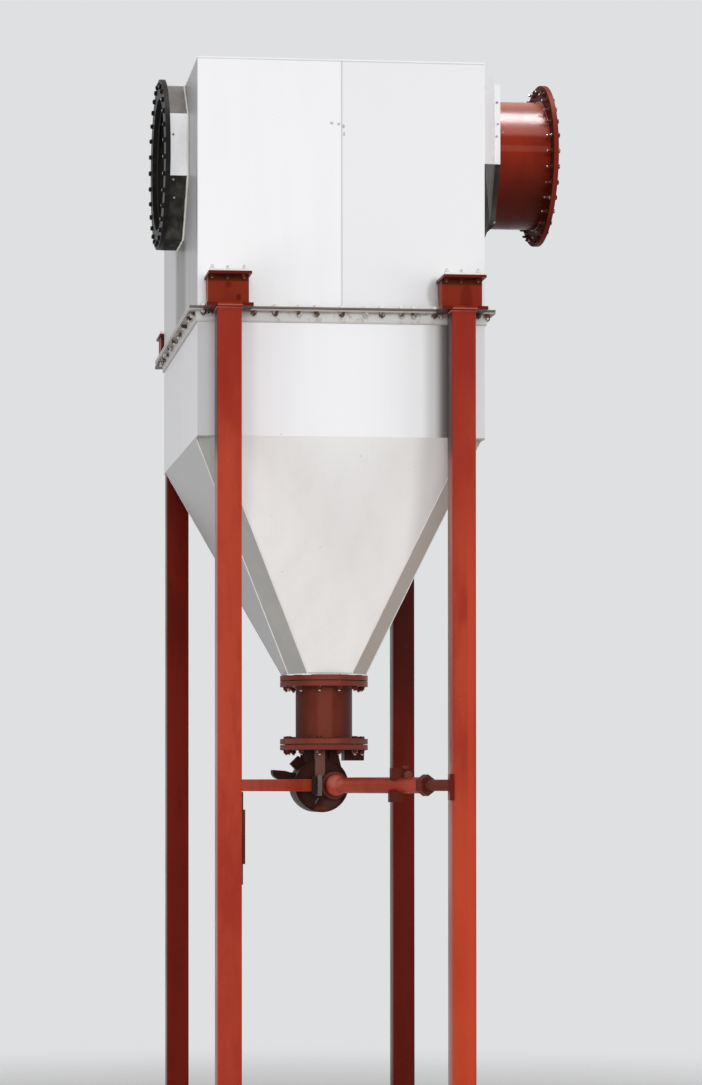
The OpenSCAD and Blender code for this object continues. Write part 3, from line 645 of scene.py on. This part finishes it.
def slab(bm, size, centre, edge, segments, only=any_edge):
    """A block with its edges eased"""
    made = bmesh.ops.create_cube(bm, size=1.0, matrix=Matrix.Translation(centre) @ Matrix.Diagonal((*size, 1)))
    ease_edges(bm, made["verts"], edge, segments, only)


def cut_sheet(outline, y, thick):
    """A flat part with an outline of (x, z) corners, thick metres back from y"""
    bm = bmesh.new()
    face = bm.faces.new([bm.verts.new((x, y, z)) for x, z in outline])
    made = bmesh.ops.extrude_face_region(bm, geom=[face])
    behind = [g for g in made["geom"] if isinstance(g, bmesh.types.BMVert)]
    bmesh.ops.translate(bm, vec=(0, thick, 0), verts=behind)
    bmesh.ops.recalc_face_normals(bm, faces=bm.faces[:])
    return bm


def tube_ring(bm, radius, hole, low, high, sides=96):
    """A pipe along Z, closed between its two walls"""
    corners = [bm.verts.new(c) for c in ((radius, 0, low), (radius, 0, high), (hole, 0, high), (hole, 0, low))]
    edges = [bm.edges.new((corners[i], corners[(i + 1) % 4])) for i in range(4)]
    bmesh.ops.spin(bm, geom=corners + edges, cent=(0, 0, 0), axis=(0, 0, 1), dvec=(0, 0, 0),
                   angle=math.tau, steps=sides, use_merge=True, use_duplicate=False)
    bmesh.ops.remove_doubles(bm, verts=bm.verts[:], dist=1e-6)
    bmesh.ops.recalc_face_normals(bm, faces=bm.faces[:])


def fixing(size, grip, head=True, nut=True, tail=0.004):
    """One bolt along Z: its head above zero, its nut below the grip, washers under both"""
    bm = bmesh.new()
    rod(bm, size / 2, -grip - size * THREAD - tail if nut else -grip, 0.0, 8)
    if head:
        rod(bm, size * WASHER_RADIUS, 0, WASHER, 12)
        top = rod(bm, size * HEX_RADIUS, WASHER, WASHER + size * HEAD_HIGH, 6)
        ease_edges(bm, top, size * 0.08, 1, lambda edge: all(v.co.z > WASHER + 0.0005 for v in edge.verts))
    if nut:
        rod(bm, size * WASHER_RADIUS, -grip - WASHER, -grip, 12)
        rod(bm, size * HEX_RADIUS, -grip - WASHER - size * NUT_HIGH, -grip - WASHER, 6)
    return mesh_of("fixing", bm)


def stud(radius, low, high):
    """A plain round end along Z"""
    bm = bmesh.new()
    rod(bm, radius, low, high, 8)
    return mesh_of("stud", bm)


def fit_all(name, mesh, places, style):
    """One piece that holds a copy of the mesh at every place"""
    bm = bmesh.new()
    for place in places:
        before = len(bm.verts)
        bm.from_mesh(mesh)
        bm.verts.ensure_lookup_table()
        bmesh.ops.transform(bm, matrix=place, verts=bm.verts[before:])
    return piece(name, bm, style)


def at(x, y, z, direction=(0, 0, 1)):
    """A place at x, y, z whose Z axis points along direction, turned by chance like a tightened nut"""
    aimed = Matrix.Translation((x, y, z)) @ Vector(direction).to_track_quat("Z", "Y").to_matrix().to_4x4()
    return aimed @ Matrix.Rotation(random.uniform(0, math.tau), 4, "Z")


def bead(name, paths, radius, style, closed=True):
    """Weld or sealing bead that runs along the paths, a little thicker here and thinner there"""
    curve = bpy.data.curves.new(name, "CURVE")
    curve.dimensions = "3D"
    curve.bevel_depth = radius
    curve.bevel_resolution = 1
    for path in paths:
        spline = curve.splines.new("POLY")
        spline.points.add(len(path) - 1)
        for point, place in zip(spline.points, path):
            point.co = (*place, 1)
            point.radius = random.uniform(0.8, 1.2)
        spline.use_cyclic_u = closed
    return dressed(name, curve, style)


def stepped(a, b, step=0.02):
    """Points from a to b, a step apart"""
    a, b = Vector(a), Vector(b)
    count = max(2, int((b - a).length / step))
    return [a.lerp(b, i / count) for i in range(count + 1)]


def ring_points(centre, radius, axis, count=72):
    """Points on a circle around the axis"""
    turn = Vector(axis).to_track_quat("Z", "Y").to_matrix()
    return [Vector(centre) + turn @ Vector((radius * math.cos(t), radius * math.sin(t), 0))
            for t in (math.tau * i / count for i in range(count))]


def cut_corners(x0, y0, x1, y1):
    """The eight corners of a rectangle whose corners are cut, around from the front left"""
    return [(x0 + CORNER_CUT, y0), (x1 - CORNER_CUT, y0), (x1, y0 + CORNER_CUT), (x1, y1 - CORNER_CUT),
            (x1 - CORNER_CUT, y1), (x0 + CORNER_CUT, y1), (x0, y1 - CORNER_CUT), (x0, y0 + CORNER_CUT)]


# Legs: rounded square tubes on base plates, welded above and below
def around_legs(z):
    """A closed path round each leg's tube at that height"""
    reach = TUBE / 2 + 0.0005
    return [[(m.x + sx * reach, m.y + sy * reach, z) for sx, sy in ((-1, -1), (1, -1), (1, 1), (-1, 1))]
            for m in LEGS.values()]


for tag, m in LEGS.items():
    bm = bmesh.new()
    slab(bm, (BASE, BASE, BASE_THICK), (m.x, m.y, BASE_THICK / 2), 0.003, 2)
    slab(bm, (TUBE, TUBE, leg_top - BASE_THICK), (m.x, m.y, (leg_top + BASE_THICK) / 2), TUBE_ROUNDING, 3,
         upright)
    # the back legs take the red that is painted darker as shade
    tube = piece("tube_leg_" + tag, bm, "red" if tag[0] == "f" else "back_red", True)
    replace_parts(tube, "leg_" + tag)
bead("leg_foot_welds", around_legs(BASE_THICK + 0.001), 0.004, "red")
bead("leg_top_welds", around_legs(leg_top - 0.002), 0.0035, "weld_red")
fit_all("anchor_nuts", fixing(size=0.016, grip=0.014, nut=False),
        [at(m.x + sx * ANCHOR_REACH, m.y + sy * ANCHOR_REACH, BASE_THICK)
         for m in LEGS.values() for sx in (-1, 1) for sy in (-1, 1)], "rusty")

# Bolts of the leg heads, through the housing's foot plates: along the wall from the leg, and out from the wall
HEAD_BOLTS = ((-0.062, 0.115), (0.055, 0.115), (-0.004, 0.100))
places = []
for m in LEGS.values():
    wall, out = (front, -1) if m.y < 0 else (back, 1)
    places += [at(m.x + along, wall + out * away, foot_top) for along, away in HEAD_BOLTS]
fit_all("head_bolts", fixing(size=0.010, grip=0.004, nut=False), places, "painted_bolt")
fit_all("head_bolt_tips", stud(radius=0.005, low=0.008, high=0.019), places, "painted_bolt")
fit_all("head_nuts", fixing(size=0.0085, grip=0.017, head=False, tail=0.002), places, "red_bolt")
# pale red ends as painted glints under the head nuts
fit_all("head_bolt_ends", stud(radius=0.0032, low=-0.0305, high=-0.027), places, "weld_red")

# Bolts of the split flange, at uneven spaces; the bright ones have shiny ends
FRONT_XS = (-0.641, -0.615, -0.457, -0.376, -0.288, -0.224, -0.130, -0.041, 0.019, 0.092, 0.138, 0.214, 0.239,
            0.376, 0.411)
SIDE_YS = (-0.61, -0.507, -0.323, -0.120, 0.037, 0.220, 0.397, 0.526, 0.61)
BRIGHT = (2, 8, 14, 20, 24, 28, 30, 32, 34, 36, 38, 40, 43, 46)
SPLIT_REACH = 0.017
grip = split_z - flange_under
places = [at(x, y, split_z) for x in FRONT_XS for y in (front - SPLIT_REACH, back + SPLIT_REACH)]
places += [at(x, y, split_z) for y in SIDE_YS for x in (left - SPLIT_REACH, right + SPLIT_REACH)]
fit_all("split_bolt_heads", fixing(size=0.012, grip=0.004, nut=False), places, "cream")
fit_all("split_nuts", fixing(size=0.012, grip=grip, head=False, tail=0.007), places, "half_rusty")
fit_all("split_bolt_ends", stud(radius=0.0065, low=-grip - 0.0185, high=-grip - 0.0100),
        [places[i] for i in BRIGHT], "zinc_bolt")

# Bolts of the discharge flanges
places = [at(throat_x + DROP_BOLT_RADIUS * math.cos(t), axis_y + DROP_BOLT_RADIUS * math.sin(t), z)
          for t in (math.radians(15 + 30 * i) for i in range(12)) for z in (throat_z, low_flange_top)]
fit_all("drop_bolts", fixing(size=0.012, grip=0.043, tail=0.006), places, "red_bolt")
fit_all("drop_bolt_ends", stud(radius=0.005, low=-0.0625, high=-0.054), places, "zinc_bolt")

# Bolts of the duct flanges, in the holes that the record states
for side, style, nut, first in (("inlet", "black", False, 0.5), ("outlet", "red_bolt", True, 0.0)):
    mount = MOUNTS[side + "_face"]
    x, y, z = mount["pos_m"]
    reach, count = mount["dims"]["pcd_mm"] / 2000, int(mount["dims"]["count"])
    places = [at(x, y + reach * math.cos(t), z + reach * math.sin(t), mount["axis"])
              for t in (math.tau * (i + first) / count for i in range(count))]
    fit_all(side + "_bolts", fixing(size=0.010, grip=0.014, nut=nut, tail=0.016), places, style)
    fit_all(side + "_bolt_faces", stud(radius=0.0036, low=0.008, high=0.0105), places, "worn_bolt")
    if nut:
        fit_all(side + "_bolt_ends", stud(radius=0.004, low=-0.0415, high=-0.0375), places, "worn_bolt")

# Screws of the inlet collar, then of the outlet rim and the stub, each with the way it points
AHEAD, LOW_FACE, HOOD_FACE = (0, -1, 0), (0, -0.78, -0.626), (0, -0.9, -0.4)
SCREWS = (
    (-0.7207, axis_y - 0.284, 4.0006, AHEAD), (-0.656, axis_y - 0.284, 4.013, AHEAD),
    (-0.7196, axis_y - 0.274, 3.8335, LOW_FACE), (-0.712, axis_y - 0.227, 3.775, LOW_FACE),
    (0.5185, -0.336, 4.150, AHEAD), (0.5215, -0.336, 4.069, AHEAD), (0.5185, -0.336, 4.021, AHEAD),
    (0.552, -0.2925, 4.0465, (0, -0.95, 0.3)),
    (0.505, -0.250, 3.712, HOOD_FACE), (0.528, -0.243, 3.712, HOOD_FACE),
)
fit_all("duct_screws", fixing(size=0.0042, grip=0.004, nut=False), [at(*screw) for screw in SCREWS],
        "worn_bolt")

# Sealing strip where the collar meets the wall, and the roof's edges over the collar
corners = [(0.117, inlet_z - 0.307), (0.284, inlet_z - 0.099), (0.284, roof_z - 0.14), (0.144, roof_z - 0.003)]
corners = [(-y, z) for y, z in corners] + [(y, z) for y, z in reversed(corners)]
around = [(left - 0.004, axis_y + y, z) for y, z in corners]
bead("collar_seal", [[p for a, b in zip(around, around[1:] + around[:1]) for p in stepped(a, b)[:-1]]], 0.0045,
     "cream")
bead("collar_roof_edges", [stepped((left - 0.088, y, roof_z - 0.003), (left, y, roof_z - 0.003))
                           for y in (axis_y - 0.144, axis_y + 0.144)], 0.005, "cream", False)

# Paddle of the valve, blunt above and rounded below
paddle = cut_sheet(((-0.3095, 1.6095), (-0.3105, 1.600), (-0.308, 1.590), (-0.301, 1.581), (-0.290, 1.5745),
                    (-0.276, 1.572), (-0.216, 1.573), (-0.216, 1.598), (-0.240, 1.600), (-0.262, 1.606)),
                   axis_y - 0.030, 0.060)
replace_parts(piece("blunt_paddle", paddle, "drum_brown"), "valve_paddle")

# Discharge pipe
bm = bmesh.new()
spool_radius = (spool_right - spool_left) / 2
tube_ring(bm, spool_radius, spool_radius - SPOOL_WALL, spool_low, spool_high)
bmesh.ops.translate(bm, vec=(throat_x, axis_y, 0), verts=bm.verts[:])
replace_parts(piece("spool_pipe", bm, "spool", True), "spool")

# Small parts of the valve: stiffener on the neck, web to the elbow, rims and rib of the cover
bm = bmesh.new()
slab(bm, (0.040, 0.040, 0.102), (-0.135, cover_front + 0.012, 1.634), 0.006, 2, upright)
piece("neck_stiffener", bm, "stiff_brown", True)
web = cut_sheet(((-0.095, 1.686), (-0.060, 1.686), (-0.057, 1.655), (-0.050, 1.625), (-0.041, 1.600),
                 (-0.030, 1.580), (-0.095, 1.580)), -0.130, 0.05)
piece("elbow_web", web, "drum_brown")
bead("cover_rims", [ring_points((valve_x, cover_front - 0.001, valve_z), 0.1005, (0, 1, 0)),
                    ring_points((valve_x + 0.048, cover_front - 0.014, valve_z), 0.0545, (0, 1, 0), 48)],
     0.002, "drum_brown")
bead("cover_rib", [stepped((-0.140, cover_front + 0.006, 1.5015), (-0.1665, cover_front + 0.006, 1.462))], 0.003,
     "plate_grey", False)

# Lug of the thin pipe on the front right leg, and the pin and bolt of the pipe clamp
lug_x, lug_y = LEGS["fr"].x - TUBE / 2, LEGS["fr"].y
bm = bmesh.new()
slab(bm, (0.018, 0.040, 0.096), (lug_x - 0.001, lug_y - 0.029, 1.543), 0.002, 2)
bmesh.ops.create_cone(bm, cap_ends=True, segments=12, radius1=0.005, radius2=0.005, depth=0.066,
                      matrix=Matrix.Translation((lug_x - 0.003, lug_y - 0.044, 1.537)))
piece("pipe_lug", bm, "lug_red")
fit_all("clamp_pin", fixing(size=0.017, grip=0.03, nut=False), [at(0.134, -0.556, 1.588, AHEAD)],
        "flange_brown")
fit_all("clamp_bolt", fixing(size=0.012, grip=0.004, nut=False), [at(0.128, -0.545, 1.612)],
        "flange_brown")

# Seams along the hopper's creases, and welds at the throat, the discharge pipe and the outlet's stub
upper = cut_corners(left, front, right, back)
lower = cut_corners(throat_x - THROAT_HALF, axis_y - THROAT_HALF, throat_x + THROAT_HALF, axis_y + THROAT_HALF)
bead("hopper_seams", [stepped((*a, crease_z), (*b, throat_z)) for a, b in zip(upper, lower)], 0.0022,
     "hopper", False)
bead("throat_weld", [[(*c, throat_z + 0.003) for c in lower]], 0.005, "hopper")
bead("pipe_welds", [ring_points((throat_x, axis_y, z), 0.111, (0, 0, 1))
                    for z in (spool_low + 0.002, spool_high - 0.002)], 0.004, "maroon")
bead("outlet_welds", [ring_points((x, axis_y, outlet_z), 0.2455, (1, 0, 0))
                      for x in (stub_left + 0.002, stub_right - 0.002)], 0.004, "duct_red")

# Pale floor that fades into the backdrop
ground = Finish("floor").wear((0.86, 0.86, 0.86), 0.8)
from_middle = (ground.x ** 2 + ground.y ** 2) ** 0.5
clear = ground.node("ShaderNodeBsdfTransparent", {}, {})
blend = ground.node("ShaderNodeMixShader", {}, {0: ground.ease(from_middle, 3.0, 6.0),
                                                1: Value(ground, ground.skin.outputs["BSDF"]), 2: clear["BSDF"]})
ground.put(ground.tree.nodes["Material Output"].inputs["Surface"], blend["Shader"])
bm = bmesh.new()
bmesh.ops.create_grid(bm, x_segments=2, y_segments=2, size=8)
floor = in_scene("floor", mesh_of("floor", bm))
floor.data.materials.append(ground.material)


def lamp(name, kind, energy, place, aim=(0, 0, 2.6), **settings):
    """A light at a place that points at the aim"""
    data = bpy.data.lights.new(name, kind)
    data.energy = energy
    for key, value in settings.items():
        setattr(data, key, value)
    obj = in_scene(name, data)
    obj.location = place
    obj.rotation_euler = (Vector(aim) - Vector(place)).to_track_quat("-Z", "Y").to_euler()
    return obj


# Soft studio light; the ceiling panel shows in glossy surfaces only, the other lamps don't show in them
lamp("front_key", "SUN", 1.36, (0, -8, 3.7), angle=math.radians(25)).visible_glossy = False
lamp("ceiling_panel", "AREA", 500, (1.5, -0.7, 8.8), (1.5, -0.7, 3),
     shape="RECTANGLE", size=2.4, size_y=1.9).visible_diffuse = False
lamp("left_fill", "AREA", 100, (-6, -3.0, 1.6), (-0.6, 0, 2.6), size=3.0).visible_glossy = False
lamp("right_fill", "AREA", 90, (6, -4.0, 3.4), (0.5, 0, 3.4), size=3.0).visible_glossy = False

# Backdrop: pale where it is seen, mirrored or seen through, darker as a light
world = bpy.data.worlds.new("world")
world.use_nodes = True
sky = Nodes(world.node_tree)
ray = sky.node("ShaderNodeLightPath", {}, {})
seen = ray["Is Camera Ray"] | ray["Is Glossy Ray"] | ray["Is Transmission Ray"]
sky.put(sky.tree.nodes["Background"].inputs["Color"], sky.tint(seen, (0.46, 0.46, 0.465), (0.74, 0.745, 0.755)))
bpy.context.scene.world = world
bpy.context.scene.view_settings.view_transform = "Standard"
